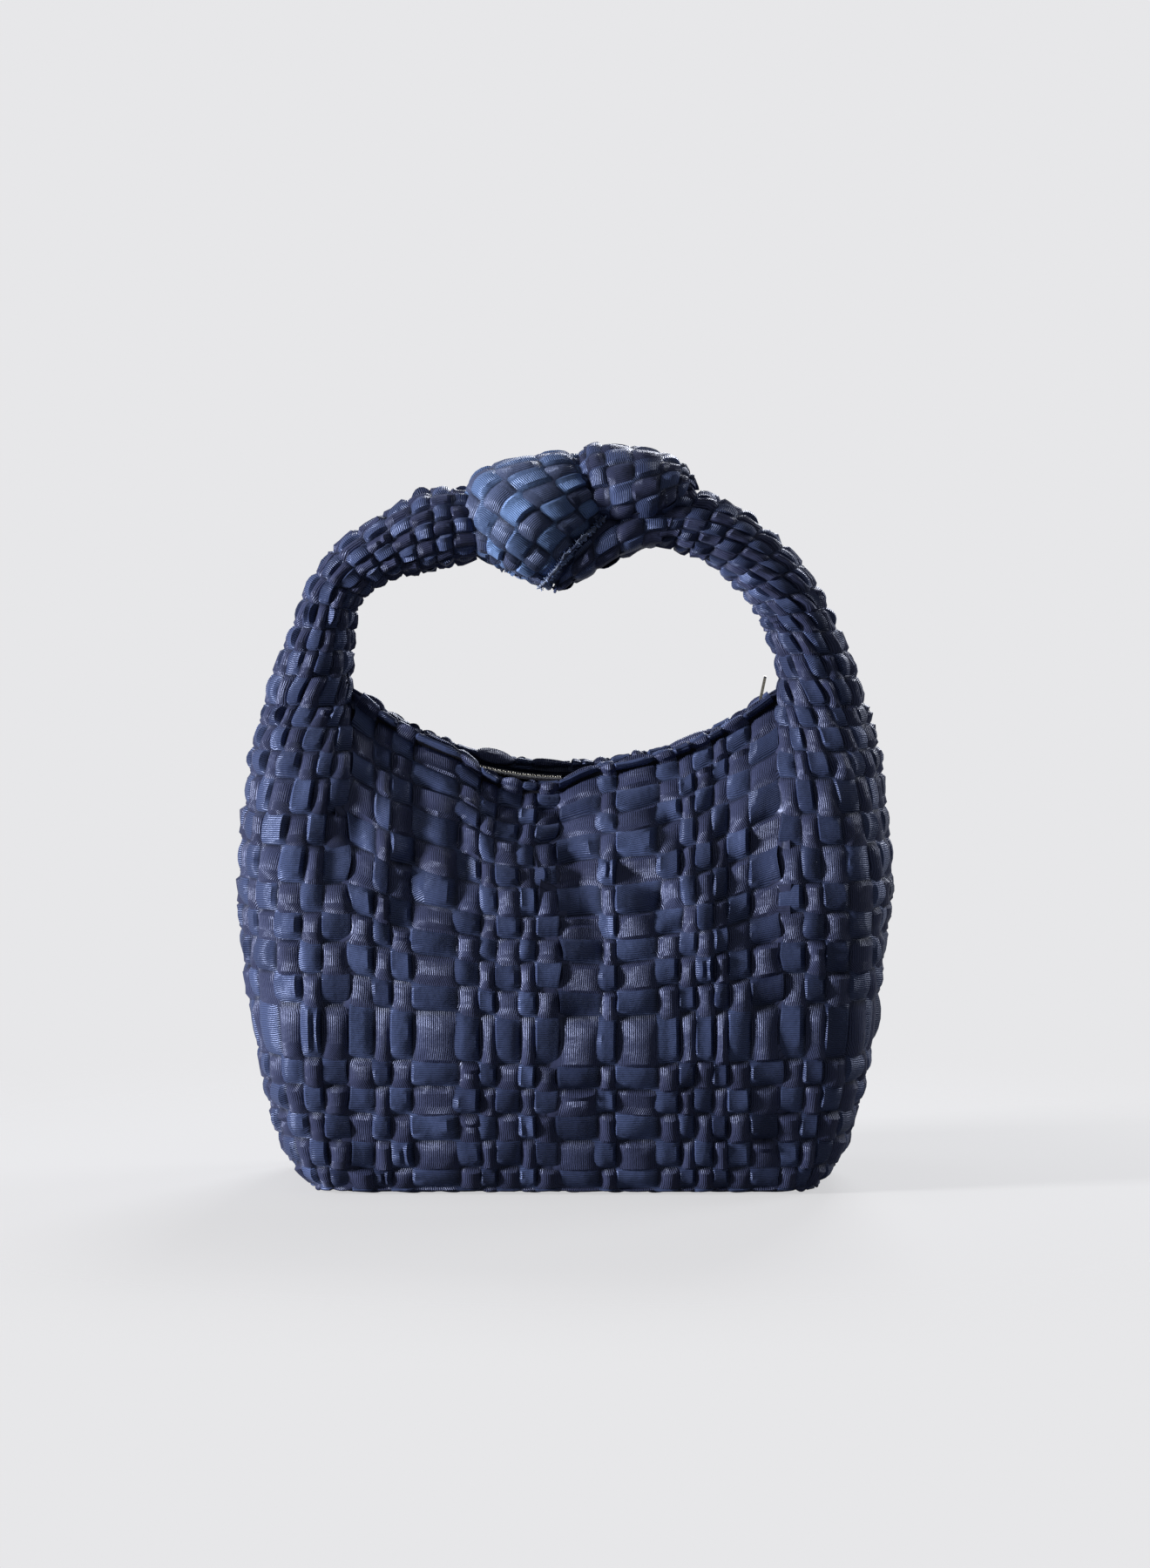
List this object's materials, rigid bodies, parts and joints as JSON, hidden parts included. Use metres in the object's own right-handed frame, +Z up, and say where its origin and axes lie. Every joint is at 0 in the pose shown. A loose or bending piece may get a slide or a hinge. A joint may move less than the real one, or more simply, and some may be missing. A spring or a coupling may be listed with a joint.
{
  "type": "woven ribbon handbag",
  "caption": "Small hobo handbag of plain-woven ribbon with a boxy base, two horns rising into a knotted handle, and a zipped, dipped mouth.",
  "frame": {"origin": "middle of the base's underside, where the bag stands", "axes": "+X to the bag's right as seen from the front, +Y to the back, +Z up to the handle"},
  "size_m": [0.2764, 0.1264, 0.3138],
  "materials": {
    "ribbon": "navy grosgrain ribbon, satin ribs",
    "ribbon_light": "brighter blue grosgrain ribbon on the knot",
    "lining": "dark navy twill",
    "zip_tape": "herringbone woven zip tape",
    "metal": "polished silver",
    "board": "stiff bag board",
    "wadding": "dark woven sleeve over the wadding"
  },
  "bodies": {
    "bag": {"front_panel": "ribbon", "back_panel": "ribbon", "base_panel": "ribbon", "left_side_panel": "ribbon", "right_side_panel": "ribbon", "base_board": "board", "front_lining": "lining", "back_lining": "lining", "base_lining": "lining", "left_side_lining": "lining", "right_side_lining": "lining", "left_zip_end": "zip_tape", "right_zip_end": "zip_tape", "zip_bottom_stop": "metal", "zip_top_stop": "metal"},
    "mouth_front_left": {"front_left_flap": "ribbon", "front_left_flap_lining": "lining", "front_left_hem": "ribbon", "front_left_tape": "zip_tape", "front_left_teeth": "metal"},
    "mouth_front_right": {"front_right_flap": "ribbon", "front_right_flap_lining": "lining", "front_right_hem": "ribbon", "front_right_tape": "zip_tape", "front_right_teeth": "metal"},
    "mouth_back_left": {"back_left_flap": "ribbon", "back_left_flap_lining": "lining", "back_left_hem": "ribbon", "back_left_tape": "zip_tape", "back_left_teeth": "metal"},
    "mouth_back_right": {"back_right_flap": "ribbon", "back_right_flap_lining": "lining", "back_right_hem": "ribbon", "back_right_tape": "zip_tape", "back_right_teeth": "metal"},
    "handle": {"left_arm": "ribbon", "right_arm": "ribbon", "left_arm_core": "wadding", "right_arm_core": "wadding", "knot_wrap": "ribbon_light", "knot_loop": "ribbon", "knot_under": "ribbon"},
    "slider": {"zip_slider": "metal", "zip_slider_plate": "metal"},
    "puller": {"zip_puller": "metal"}
  },
  "joints": [
    {"name": "mouth_front_left_open", "type": "hinge", "parent": "bag", "child": "mouth_front_left", "pos_m": [-0.089, -0.0526, 0.1182], "axis": [0, -0.559, -0.8291], "range_deg": [0, 10]},
    {"name": "mouth_front_right_open", "type": "hinge", "parent": "bag", "child": "mouth_front_right", "pos_m": [0.089, -0.0526, 0.1182], "axis": [0, 0.559, 0.8291], "range_deg": [0, 10]},
    {"name": "mouth_back_left_open", "type": "hinge", "parent": "bag", "child": "mouth_back_left", "pos_m": [-0.089, 0.0526, 0.1182], "axis": [0, -0.559, 0.8291], "range_deg": [0, 10]},
    {"name": "mouth_back_right_open", "type": "hinge", "parent": "bag", "child": "mouth_back_right", "pos_m": [0.089, 0.0526, 0.1182], "axis": [0, 0.559, -0.8291], "range_deg": [0, 10]},
    {"name": "slider_travel", "type": "hinge", "parent": "bag", "child": "slider", "pos_m": [0, 0, 0.317], "axis": [0, 1, 0], "range_deg": [0, 64]},
    {"name": "puller_swing", "type": "hinge", "parent": "slider", "child": "puller", "pos_m": [0.0821, 0, 0.20028], "axis": [0, -1, 0], "range_deg": [0, 133]},
    {"name": "handle_lean", "type": "hinge", "parent": "bag", "child": "handle", "pos_m": [0, 0, 0.222], "axis": [1, 0, 0], "range_deg": [-30, 30]}
  ],
  "couplings": [
    {"joint": "mouth_front_right_open", "follows": "mouth_front_left_open", "ratio": 1},
    {"joint": "mouth_back_left_open", "follows": "mouth_front_left_open", "ratio": 1},
    {"joint": "mouth_back_right_open", "follows": "mouth_front_left_open", "ratio": 1}
  ]
}
